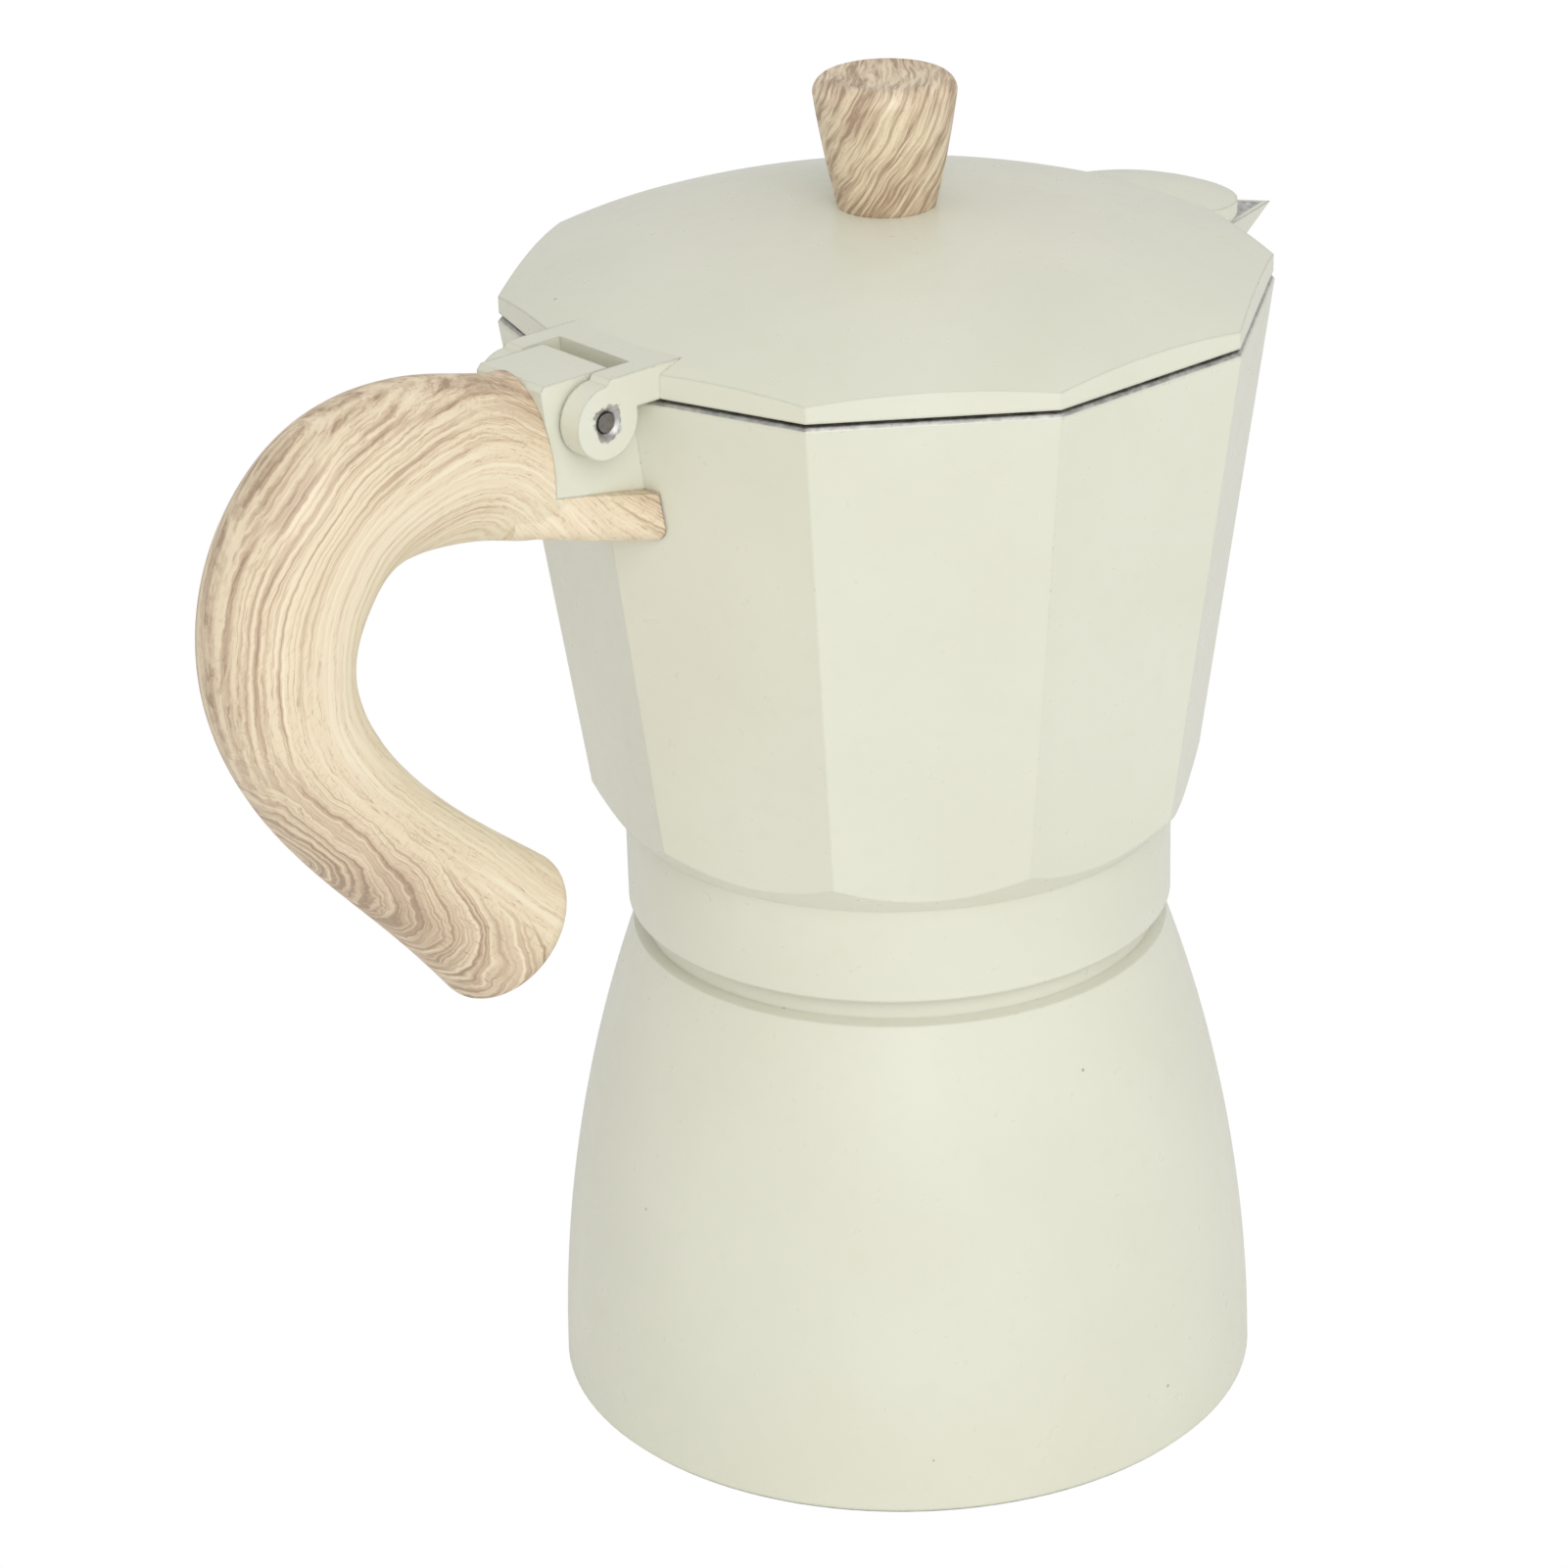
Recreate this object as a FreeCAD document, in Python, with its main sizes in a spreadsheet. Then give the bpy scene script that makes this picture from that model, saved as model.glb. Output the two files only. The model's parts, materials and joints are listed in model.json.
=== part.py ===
import FreeCAD, Part
import math
import os
import re
import Sketcher

# Stovetop moka pot. Millimetres. Z is up from the base plane, the pot axis is Z,
# the spout points to +X and the handle to -X. The hinge axis is parallel to Y.

os.makedirs("parts", exist_ok=True)
doc = FreeCAD.newDocument("MokaPot")
sheet = doc.addObject("Spreadsheet::Sheet", "Sizes")
V = FreeCAD.Vector

SIZES = {
    # boiler
    "base_radius": "50.5",
    "base_chamfer": "0.6",
    "floor_thickness": "3.2",
    "boiler_wall": "2.4",
    "bell_radius": "215",
    "shoulder_radius": "38.1",
    "shoulder_level": "70.2",
    "neck_radius": "36.6",
    "neck_bore": "32.6",
    "rim_level": "86.8",
    "groove_pitch": "7",
    "groove_depth": "0.3",
    "groove_width": "1.2",
    # thread
    "thread_pitch": "3",
    "thread_turns_length": "6.4",
    "thread_start": "77.1",
    "thread_root": "35.7",
    "thread_depth": "1.1",
    "thread_gap": "0.3",
    # funnel
    "sheet_thickness": "0.8",
    "basket_radius": "31.9",
    "basket_floor": "62",
    "stem_radius": "5",
    "stem_end": "9",
    "cone_height": "9.4",
    "plate_gap": "0.15",
    # collector underside
    "collar_radius": "38.7",
    "collar_bottom": "73.9",
    "collar_top": "87.9",
    "collar_chamfer": "0.4",
    "gasket_inner": "26.5",
    "gasket_radius": "35.2",
    "gasket_height": "3.2",
    "filter_radius": "28.6",
    "seat_gap": "0.3",
    "cavity_radius": "25",
    "cavity_height": "3",
    "collector_floor": "3",
    # collector facets
    "facets": "10",
    "waist_radius": "43.3",
    "waist_level": "93",
    "taper": "0.144",
    "collector_rim": "162.3",
    "rim_bevel": "0.6",
    "collector_wall": "2.5",
    "flare_slope": "1.08",
    # spout
    "beak_root": "44.8",
    "beak_low": "138.7",
    "beak_run": "1.27",
    "beak_spread": "0.444",
    "beak_shell": "3.9",
    "lip_start": "50",
    "lip_fall": "0.152",
    # column
    "column_bore": "4.6",
    "column_foot": "9",
    "column_top_radius": "6",
    "column_height": "49",
    "spigot_radius": "7.95",
    "fit_gap": "0.05",
    "cap_radius": "7.6",
    "cap_height": "13",
    "cap_grip": "5",
    "window_width": "4.4",
    "window_height": "4",
    # hinge
    "hinge_back": "58.3",
    "hinge_level": "161.8",
    "pin_radius": "1.3",
    "pin_gap": "0.08",
    "lug_radius": "5",
    "lug_thickness": "3.6",
    "notch_half": "7",
    "bracket_half": "6.5",
    "bracket_top": "167.5",
    "bracket_front": "54.8",
    "bracket_rear": "66",
    "bracket_seat_rear": "64",
    "bracket_seat_level": "151.9",
    "bracket_seat_fall": "2.7",
    "notch_edge": "51.6",
    "arm_top": "167.6",
    "arm_root": "42.5",
    # lid
    "lid_radius": "53",
    "lid_bottom": "162.9",
    "dome_top": "175.6",
    "dome_radius": "134",
    "lid_wall": "2.5",
    "lid_skirt": "3.3",
    "tongue_radius": "13",
    "tongue_centre": "49.4",
    "tongue_crown": "45",
    "tongue_top": "167.9",
    # knob
    "knob_foot": "6.7",
    "knob_radius": "9.75",
    "knob_height": "17.9",
    "knob_lip": "2.1",
    "knob_side": "150",
    "knob_dish": "0.6",
    "insert_radius": "3",
    "insert_length": "11",
    # screws
    "screw_radius": "2",
    "head_radius": "3.6",
    "head_height": "2.3",
    "washer_radius": "4.4",
    # handle
    "ledge_half": "9.4",
    "ledge_neck": "5.2",
    "ledge_reach": "46",
    "ledge_bottom": "141.4",
    "ledge_rise": "5.6",
    "ledge_back": "70",
    "ledge_round": "2.6",
    # safety valve
    "valve_azimuth": "54",
    "valve_level": "52",
    "boss_radius": "8",
    "boss_face": "46",
    "boss_inside": "40.6",
    "valve_shank": "4",
    "valve_flats": "12",
    "hex_length": "5",
    "nose_length": "1.6",
    "nose_radius": "4.3",
    "chamber_radius": "3",
    "orifice_radius": "1.5",
    "stem_pin_radius": "1",
    "pin_head_radius": "2.6",
    "spring_radius": "2",
    "wire_radius": "0.25",
    "spring_coils": "6",
}

# handle stations from the hinge end to the tip:
# distance behind the pot axis, level, half depth, half width, tilt of the section
STATIONS = {
    "front": ("57.3", "154.8", "10.6", "6.4", "-77"),
    "root": ("68.3", "157.4", "11.2", "7.3", "-76.5"),
    "crest": ("80.8", "159.6", "11.5", "8.2", "-85"),
    "crown": ("93.3", "158.2", "12", "9.2", "-115"),
    "shoulder": ("101.8", "149.6", "11.6", "9.4", "-152"),
    "back": ("104.7", "137.2", "10.2", "9.2", "-183"),
    "waist": ("101.4", "125.5", "9.3", "8.9", "-206"),
    "lower": ("94.5", "115", "8.9", "8.6", "-219"),
    "slope": ("86.5", "106.2", "9", "8.6", "-223.5"),
    "flare": ("79", "98.8", "9.7", "9", "-225"),
    "tail": ("71.9", "91.8", "10.8", "9.8", "-225"),
}
for station, numbers in STATIONS.items():
    for part_name, number in zip(("reach", "rise", "depth", "width", "tilt"), numbers):
        SIZES[station + "_" + part_name] = number

for row, (alias, number) in enumerate(SIZES.items(), start=1):
    sheet.set("A%d" % row, alias)
    sheet.set("B%d" % row, number)
    sheet.setAlias("B%d" % row, alias)
doc.recompute()


# ---------------------------------------------------------------- helpers
def linked(text):
    """Point every size name in an expression at the sheet."""
    return re.sub(
        "[a-z][a-z_]+",
        lambda word: "Sizes." + word.group() if word.group() in SIZES else word.group(),
        text,
    )


def size(text):
    """Number that an expression stands for now."""
    return float(sheet.evalExpression(text))


def bind(item, prop, text):
    item.setExpression(prop, linked(text))


def place(item, x="0", y="0", z="0", axis=(0, 0, 1), angle=0):
    """Turn an item about an axis and bind where its origin goes."""
    item.Placement = FreeCAD.Placement(V(0, 0, 0), FreeCAD.Rotation(V(*axis), angle))
    for letter, text in (("x", x), ("y", y), ("z", z)):
        bind(item, "Placement.Base." + letter, text)
    return item


def origin_item(body, role):
    return next(item for item in body.Origin.OriginFeatures if item.Role == role)


def outline(body, name, corners, arcs=None, plane="XZ_Plane"):
    """Closed sketch on one of the body's own planes. arcs: corner index -> radius of the side after it,
    bulging to the right of the way the outline runs."""
    arcs = arcs or {}
    sketch = body.newObject("Sketcher::SketchObject", name)
    sketch.AttachmentSupport = (origin_item(body, plane), [""])
    sketch.MapMode = "FlatFace"
    spots = [V(size(across), size(up), 0) for across, up in corners]
    count = len(spots)
    for index, start in enumerate(spots):
        stop = spots[(index + 1) % count]
        if index in arcs:
            chord = stop - start
            radius = size(arcs[index])
            rise = radius - math.sqrt(radius ** 2 - (chord.Length / 2) ** 2)
            outward = V(chord.y, -chord.x, 0).normalize()
            middle = (start + stop) * 0.5 + outward * rise
            sketch.addGeometry(Part.ArcOfCircle(start, middle, stop))
        else:
            sketch.addGeometry(Part.LineSegment(start, stop))
    for index in range(count):
        sketch.addConstraint(Sketcher.Constraint("Coincident", index, 2, (index + 1) % count, 1))
    for index, (across, up) in enumerate(corners):
        if across == "0":
            sketch.addConstraint(Sketcher.Constraint("PointOnObject", index, 1, -2))
        else:
            number = sketch.addConstraint(
                Sketcher.Constraint("DistanceX", -1, 1, index, 1, size(across))
            )
            bind(sketch, "Constraints[%d]" % number, across)
        if up == "0":
            sketch.addConstraint(Sketcher.Constraint("PointOnObject", index, 1, -1))
        else:
            number = sketch.addConstraint(
                Sketcher.Constraint("DistanceY", -1, 1, index, 1, size(up))
            )
            bind(sketch, "Constraints[%d]" % number, up)
    for index, text in arcs.items():
        number = sketch.addConstraint(Sketcher.Constraint("Radius", index, size(text)))
        bind(sketch, "Constraints[%d]" % number, text)
    return sketch


def new_body(label):
    body = doc.addObject("PartDesign::Body", label)
    body.Label = label
    return body


def turned(label, corners, arcs=None):
    """Body of revolution about Z from an outline of (radius, level) corners."""
    body = new_body(label)
    sketch = outline(body, label + "_profile", corners, arcs)
    turning = body.newObject("PartDesign::Revolution", label + "_turning")
    turning.Profile = sketch
    turning.ReferenceAxis = (origin_item(body, "Z_Axis"), [""])
    turning.Angle = 360
    doc.recompute()
    return body


def slab(label, corners, half_width, arcs=None, plane="XZ_Plane"):
    """Outline given thickness square to its plane, the same each side of the middle."""
    body = new_body(label)
    sketch = outline(body, label + "_side", corners, arcs, plane)
    pad = body.newObject("PartDesign::Pad", label + "_pad")
    pad.Profile = sketch
    pad.SideType = "Symmetric"
    bind(pad, "Length", "2 * (%s)" % half_width)
    doc.recompute()
    return body


def ridge(body, name, corners, pitch, length):
    """Right-hand helical ridge on a body, from its section in XZ."""
    sketch = outline(body, name + "_section", corners)
    coil = body.newObject("PartDesign::AdditiveHelix", name)
    coil.Profile = sketch
    coil.ReferenceAxis = (origin_item(body, "Z_Axis"), [""])
    coil.Mode = "pitch-height-angle"
    bind(coil, "Pitch", pitch)
    bind(coil, "Height", length)
    doc.recompute()
    return coil


def rod(label, radius, length):
    item = doc.addObject("Part::Cylinder", label)
    item.Label = label
    bind(item, "Radius", radius)
    bind(item, "Height", length)
    return item


def prism(label, sides, circumradius, length):
    item = doc.addObject("Part::Prism", label)
    item.Label = label
    bind(item, "Polygon", sides)
    bind(item, "Circumradius", circumradius)
    bind(item, "Height", length)
    return item


def block(label, length, width, height):
    item = doc.addObject("Part::Box", label)
    item.Label = label
    bind(item, "Length", length)
    bind(item, "Width", width)
    bind(item, "Height", height)
    return item


def join(label, *pieces):
    item = doc.addObject("Part::MultiFuse", label)
    item.Label = label
    item.Shapes = list(pieces)
    item.Refine = True
    return item


def shared(label, *pieces):
    item = doc.addObject("Part::MultiCommon", label)
    item.Label = label
    item.Shapes = list(pieces)
    return item


def cut(label, base, *tools):
    item = doc.addObject("Part::Cut", label)
    item.Label = label
    item.Base = base
    item.Tool = tools[0] if len(tools) == 1 else join(label + "_tools", *tools)
    item.Refine = True
    return item


def facet_loft(label, levels):
    """Straight-sided loft through regular polygons: (circumradius, level) pairs."""
    wires = []
    for number, (radius, level) in enumerate(levels):
        wire = doc.addObject("Part::RegularPolygon", "%s_ring_%d" % (label, number))
        bind(wire, "Polygon", "facets")
        bind(wire, "Circumradius", radius)
        place(wire, z=level)
        wires.append(wire)
    loft = doc.addObject("Part::Loft", label)
    loft.Label = label
    loft.Sections = wires
    loft.Solid = True
    loft.Ruled = True
    return loft


def perforate(body, rings, spacing, radius, bottom):
    """Round holes through a disc: one in the middle and rings of 6, 12, 18 and more."""
    for ring in range(rings + 1):
        hole = body.newObject("PartDesign::SubtractiveCylinder", "%s_hole_%d" % (body.Label, ring))
        hole.AttachmentSupport = (origin_item(body, "XY_Plane"), [""])
        hole.MapMode = "FlatFace"
        bind(hole, "Radius", radius)
        bind(hole, "Height", "sheet_thickness * 3")
        bind(hole, "AttachmentOffset.Base.x", "(%s) * %d" % (spacing, ring))
        bind(hole, "AttachmentOffset.Base.z", "(%s) - sheet_thickness" % bottom)
        doc.recompute()
        if ring:
            pattern = body.newObject("PartDesign::PolarPattern", "%s_ring_%d" % (body.Label, ring))
            pattern.Originals = [hole]
            pattern.Axis = (origin_item(body, "Z_Axis"), [""])
            pattern.Angle = 360
            pattern.Occurrences = 6 * ring
            body.Tip = pattern
            doc.recompute()


KEPT = {}


def keep(item):
    KEPT[item.Label] = item
    return item


# ---------------------------------------------------------------- levels used by several pieces
GASKET_TOP = "(rim_level + gasket_height)"
PLATE_TOP = "(rim_level + gasket_height + sheet_thickness)"
CAVITY_TOP = "(rim_level + gasket_height + sheet_thickness + cavity_height)"
FLOOR_TOP = "(rim_level + gasket_height + sheet_thickness + cavity_height + collector_floor)"
BORE_RADIUS = "(thread_root + thread_depth + thread_gap)"


def facet_radius(level):
    return "(waist_radius + taper * (%s - waist_level))" % level


# ---------------------------------------------------------------- boiler
grooves = []
for number in range(1, 7):
    centre = "(groove_pitch * %d)" % number
    grooves.append((centre + " - groove_width / 2", "0"))
    grooves.append((centre, "groove_depth"))
    grooves.append((centre + " + groove_width / 2", "0"))
boiler_corners = [("0", "0")] + grooves + [
    ("base_radius - base_chamfer", "0"),
    ("base_radius", "base_chamfer"),
    ("shoulder_radius", "shoulder_level"),
    ("neck_radius", "shoulder_level + 0.5"),
    ("neck_radius", "thread_start - 1.4"),
    ("thread_root", "thread_start - 0.9"),
    ("thread_root", "rim_level - 0.5"),
    ("thread_root - 0.5", "rim_level"),
    ("neck_bore + 1.9", "rim_level"),
    ("neck_bore + 1.9", "rim_level - sheet_thickness"),
    ("neck_bore", "rim_level - sheet_thickness"),
    ("neck_bore", "shoulder_level + 1.6"),
    ("shoulder_radius - boiler_wall - 0.4", "shoulder_level - 1.4"),
    ("base_radius - boiler_wall - 0.4", "floor_thickness + 4.5"),
    ("base_radius - boiler_wall - 4.5", "floor_thickness"),
    ("0", "floor_thickness"),
]
bell = 2 + len(grooves)
boiler_blank = turned(
    "boiler_blank",
    boiler_corners,
    {bell: "bell_radius"},
)
ridge(
    boiler_blank,
    "boiler_thread",
    [
        ("thread_root - 0.2", "thread_start - 0.65"),
        ("thread_root + thread_depth", "thread_start - 0.25"),
        ("thread_root + thread_depth", "thread_start + 0.25"),
        ("thread_root - 0.2", "thread_start + 0.65"),
    ],
    "thread_pitch",
    "thread_turns_length",
)

azimuth = math.radians(size("valve_azimuth"))
tip_axis = (-math.sin(azimuth), math.cos(azimuth), 0)


def place_radially(item, distance):
    """Stand an item's Z axis along the valve axis, its origin this far from the pot axis."""
    along = "(%s) * %s(valve_azimuth)"
    return place(
        item,
        along % (distance, "cos"),
        along % (distance, "sin"),
        "valve_level",
        tip_axis,
        90,
    )


boss = place_radially(rod("valve_boss", "boss_radius", "boss_face - boss_inside"), "boss_inside")
valve_bore = place_radially(rod("valve_bore", "valve_shank + fit_gap", "20"), "boss_face - 14")
boiler = keep(cut("boiler", join("boiler_body", boiler_blank, boss), valve_bore))

# ---------------------------------------------------------------- safety valve
# each piece is made on its own Z axis, with the boss face at zero
HEX_START = "sheet_thickness"
HEX_END = "(sheet_thickness + hex_length)"
NOSE_END = "(sheet_thickness + hex_length + nose_length)"
SEAT_START = "-2.6"
CAP_START = "(sheet_thickness + hex_length + nose_length - 1.2)"

valve_washer = keep(
    turned(
        "valve_washer",
        [
            ("valve_shank + fit_gap", "0"),
            ("boss_radius - 0.8", "0"),
            ("boss_radius - 0.8", HEX_START),
            ("valve_shank + fit_gap", HEX_START),
        ],
    )
)
place_radially(valve_washer, "boss_face")

shank = place(rod("valve_shank_rod", "valve_shank", "6 + hex_length"), z="-6")
hexagon = place(prism("valve_hex", "6", "valve_flats / 2 / cos(30)", "hex_length"), z=HEX_START)
nose = place(rod("valve_nose", "nose_radius", "nose_length + 1"), z=HEX_END + " - 1")
chamber = place(rod("valve_chamber", "chamber_radius", "20"), z=SEAT_START)
orifice = place(rod("valve_orifice", "orifice_radius", "20"), z="-10")
valve_body = keep(cut("valve_body", join("valve_solid", shank, hexagon, nose), chamber, orifice))
place_radially(valve_body, "boss_face")

valve_cap = keep(
    turned(
        "valve_cap",
        [
            ("stem_pin_radius + 0.3", CAP_START),
            ("chamber_radius", CAP_START),
            ("chamber_radius", NOSE_END),
            ("stem_pin_radius + 0.3", NOSE_END),
        ],
    )
)
place_radially(valve_cap, "boss_face")

valve_pin = keep(
    turned(
        "valve_pin",
        [
            ("0", SEAT_START),
            ("pin_head_radius", SEAT_START),
            ("pin_head_radius", SEAT_START + " + 1.4"),
            ("stem_pin_radius", SEAT_START + " + 1.4"),
            ("stem_pin_radius", NOSE_END + " + 2.6"),
            ("stem_pin_radius - 0.4", NOSE_END + " + 3"),
            ("0", NOSE_END + " + 3"),
        ],
    )
)
place_radially(valve_pin, "boss_face")

valve_spring = keep(new_body("valve_spring"))
SPRING_START = "(%s + 1.4 + wire_radius)" % SEAT_START
SPRING_LENGTH = "(%s - %s - wire_radius)" % (CAP_START, SPRING_START)
ridge(
    valve_spring,
    "spring_coil",
    [
        ("spring_radius - wire_radius", SPRING_START + " - wire_radius / 2"),
        ("spring_radius - wire_radius / 2", SPRING_START + " - wire_radius"),
        ("spring_radius + wire_radius / 2", SPRING_START + " - wire_radius"),
        ("spring_radius + wire_radius", SPRING_START + " - wire_radius / 2"),
        ("spring_radius + wire_radius", SPRING_START + " + wire_radius / 2"),
        ("spring_radius + wire_radius / 2", SPRING_START + " + wire_radius"),
        ("spring_radius - wire_radius / 2", SPRING_START + " + wire_radius"),
        ("spring_radius - wire_radius", SPRING_START + " + wire_radius / 2"),
    ],
    SPRING_LENGTH + " / spring_coils",
    SPRING_LENGTH,
)
place_radially(valve_spring, "boss_face")

# ---------------------------------------------------------------- funnel with its plate
BASKET_INNER = "(basket_radius - sheet_thickness)"
funnel = keep(
    turned(
        "funnel",
        [
            ("stem_radius - sheet_thickness", "stem_end"),
            ("stem_radius", "stem_end"),
            ("stem_radius", "basket_floor - cone_height - sheet_thickness"),
            (BASKET_INNER + " - 0.9", "basket_floor - sheet_thickness"),
            ("basket_radius", "basket_floor - sheet_thickness"),
            ("basket_radius", "rim_level - sheet_thickness"),
            ("neck_bore + 1.6", "rim_level - sheet_thickness"),
            ("neck_bore + 1.6", "rim_level"),
            (BASKET_INNER, "rim_level"),
            (BASKET_INNER, "basket_floor"),
            (BASKET_INNER + " - 1.6", "basket_floor"),
            ("stem_radius - sheet_thickness", "basket_floor - cone_height"),
        ],
    )
)
funnel_plate = keep(
    turned(
        "funnel_plate",
        [
            ("0", "basket_floor"),
            (BASKET_INNER + " - plate_gap", "basket_floor"),
            (BASKET_INNER + " - plate_gap", "basket_floor + sheet_thickness"),
            ("0", "basket_floor + sheet_thickness"),
        ],
    )
)
perforate(funnel_plate, 4, "6.6", "0.9", "basket_floor")

# ---------------------------------------------------------------- gasket and filter plate
gasket = keep(
    turned(
        "gasket",
        [
            ("gasket_inner", "rim_level"),
            ("gasket_radius", "rim_level"),
            ("gasket_radius", GASKET_TOP),
            ("gasket_inner", GASKET_TOP),
        ],
    )
)
filter_plate = keep(
    turned(
        "filter_plate",
        [
            ("0", GASKET_TOP),
            ("filter_radius", GASKET_TOP),
            ("filter_radius", PLATE_TOP),
            ("0", PLATE_TOP),
        ],
    )
)
perforate(filter_plate, 4, "5.4", "0.7", GASKET_TOP)

# ---------------------------------------------------------------- collector
collar = turned(
    "collar",
    [
        (BORE_RADIUS + " + collar_chamfer", "collar_bottom"),
        ("collar_radius - collar_chamfer", "collar_bottom"),
        ("collar_radius", "collar_bottom + collar_chamfer"),
        ("collar_radius", "collar_top + 3"),
        ("gasket_radius - 1", "collar_top + 3"),
        ("gasket_radius - 1", "rim_level + seat_gap"),
        (BORE_RADIUS, "rim_level + seat_gap"),
        (BORE_RADIUS, "collar_bottom + collar_chamfer"),
    ],
)
ridge(
    collar,
    "collar_thread",
    [
        (BORE_RADIUS + " + 0.2", "thread_start + thread_pitch / 2 - 0.65"),
        (BORE_RADIUS + " + 0.2", "thread_start + thread_pitch / 2 + 0.65"),
        ("thread_root + thread_gap", "thread_start + thread_pitch / 2 + 0.25"),
        ("thread_root + thread_gap", "thread_start + thread_pitch / 2 - 0.25"),
    ],
    "thread_pitch",
    "thread_turns_length - 1.2",
)

facets_outside = facet_loft(
    "facets_outside",
    [
        (facet_radius("collar_top"), "collar_top"),
        (facet_radius("(collector_rim - rim_bevel)"), "collector_rim - rim_bevel"),
        (facet_radius("collector_rim") + " - rim_bevel", "collector_rim"),
    ],
)
flare = turned(
    "flare_envelope",
    [
        ("0", "collar_top"),
        ("collar_radius", "collar_top"),
        ("lid_radius + 12", "collar_top + flare_slope * (lid_radius + 12 - collar_radius)"),
        ("lid_radius + 12", "collector_rim + 8"),
        ("0", "collector_rim + 8"),
    ],
)
facet_block = shared("facet_block", facets_outside, flare)


def triangle(label, tip, level):
    """Level triangle across the spout: its tip ahead and its base at the spout's root."""
    body = doc.addObject("Part::Polygon", label)
    half = "(%s - (%s)) * beak_spread" % (tip, "beak_root")
    reach = size(tip)
    wide = size(half)
    back = size("beak_root")
    high = size(level)
    body.Nodes = [V(back, -wide, high), V(reach, 0, high), V(back, wide, high)]
    body.Close = True
    return body


def beak(label, shell, low, high):
    """Spout solid between two level triangles; shell draws the tip back."""
    tip = "(%s + beak_run * (%s - beak_low) - %s)"
    foot = facet_radius("beak_low")
    loft = doc.addObject("Part::Loft", label)
    loft.Label = label
    loft.Sections = [
        triangle(label + "_low", tip % (foot, low, shell), low),
        triangle(label + "_high", tip % (foot, high, shell), high),
    ]
    loft.Solid = True
    loft.Ruled = True
    return loft


beak_outside = beak("beak_outside", "0", "beak_low", "collector_rim")
beak_inside = beak("beak_inside", "beak_shell", "(beak_low + 3.4)", "(collector_rim + 6)")
lip_cut = slab(
    "lip_cut",
    [
        ("lip_start", "collector_rim"),
        ("lip_start + 45", "collector_rim - 45 * lip_fall"),
        ("lip_start + 45", "collector_rim + 12"),
        ("lip_start", "collector_rim + 12"),
    ],
    "26",
)



def bracket_back(level):
    """Place of the bracket's leaning rear face at a level."""
    lean = "(bracket_rear - bracket_seat_rear) / (bracket_top - bracket_seat_level)"
    return "-(bracket_seat_rear + (%s - bracket_seat_level) * %s)" % (level, lean)


bracket = slab(
    "hinge_bracket",
    [
        ("-bracket_seat_rear", "bracket_seat_level"),
        ("-(bracket_seat_rear - 15.2)", "bracket_seat_level - bracket_seat_fall"),
        ("-(bracket_seat_rear - 15.2)", "collector_rim - 5"),
        ("-notch_edge", "collector_rim - 0.2"),
        ("-bracket_front", "collector_rim + 0.6"),
        ("-bracket_front", "bracket_top"),
        ("-(bracket_rear - 0.8)", "bracket_top"),
        (bracket_back("(bracket_top - 0.8)"), "bracket_top - 0.8"),
    ],
    "bracket_half",
)

facets_inside = facet_loft(
    "facets_inside",
    [
        (facet_radius(FLOOR_TOP) + " - collector_wall - 3", FLOOR_TOP),
        (facet_radius(FLOOR_TOP) + " - collector_wall", FLOOR_TOP + " + 3"),
        (facet_radius("(collector_rim + 10)") + " - collector_wall", "collector_rim + 10"),
    ],
)
underside = turned(
    "underside",
    [
        ("0", "collar_bottom"),
        ("gasket_radius + seat_gap", "collar_bottom"),
        ("gasket_radius + seat_gap", GASKET_TOP),
        ("filter_radius + seat_gap", GASKET_TOP),
        ("filter_radius + seat_gap", PLATE_TOP),
        ("cavity_radius", PLATE_TOP),
        ("cavity_radius", CAVITY_TOP),
        ("0", CAVITY_TOP),
    ],
)
column_hole = place(rod("column_hole", "spigot_radius + fit_gap", "12"), z=CAVITY_TOP + " - 4")
pin_hole = place(
    rod("pin_hole", "pin_radius", "40"), "-hinge_back", "20", "hinge_level", (1, 0, 0), 90
)

# the handle screw stands square on the seat under the bracket
seat_tilt = math.degrees(math.atan2(size("bracket_seat_fall"), 15.2))
SCREW_BACK = "(bracket_seat_rear - 6.6)"
SCREW_LEVEL = "(bracket_seat_level - bracket_seat_fall * 6.6 / 15.2)"


def place_on_seat(item, rise):
    """Put an item's origin on the handle screw axis, this far above the seat."""
    lean = math.radians(seat_tilt)
    return place(
        item,
        "-%s + (%s) * %.6f" % (SCREW_BACK, rise, math.sin(lean)),
        "0",
        "%s + (%s) * %.6f" % (SCREW_LEVEL, rise, math.cos(lean)),
        (0, 1, 0),
        seat_tilt,
    )


bracket_tap = place_on_seat(rod("bracket_tap", "screw_radius + fit_gap", "10"), "-1")
collector = keep(
    cut(
        "collector",
        join("collector_solid", facet_block, collar, beak_outside, bracket),
        facets_inside,
        beak_inside,
        lip_cut,
        underside,
        column_hole,
        pin_hole,
        bracket_tap,
    )
)

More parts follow.
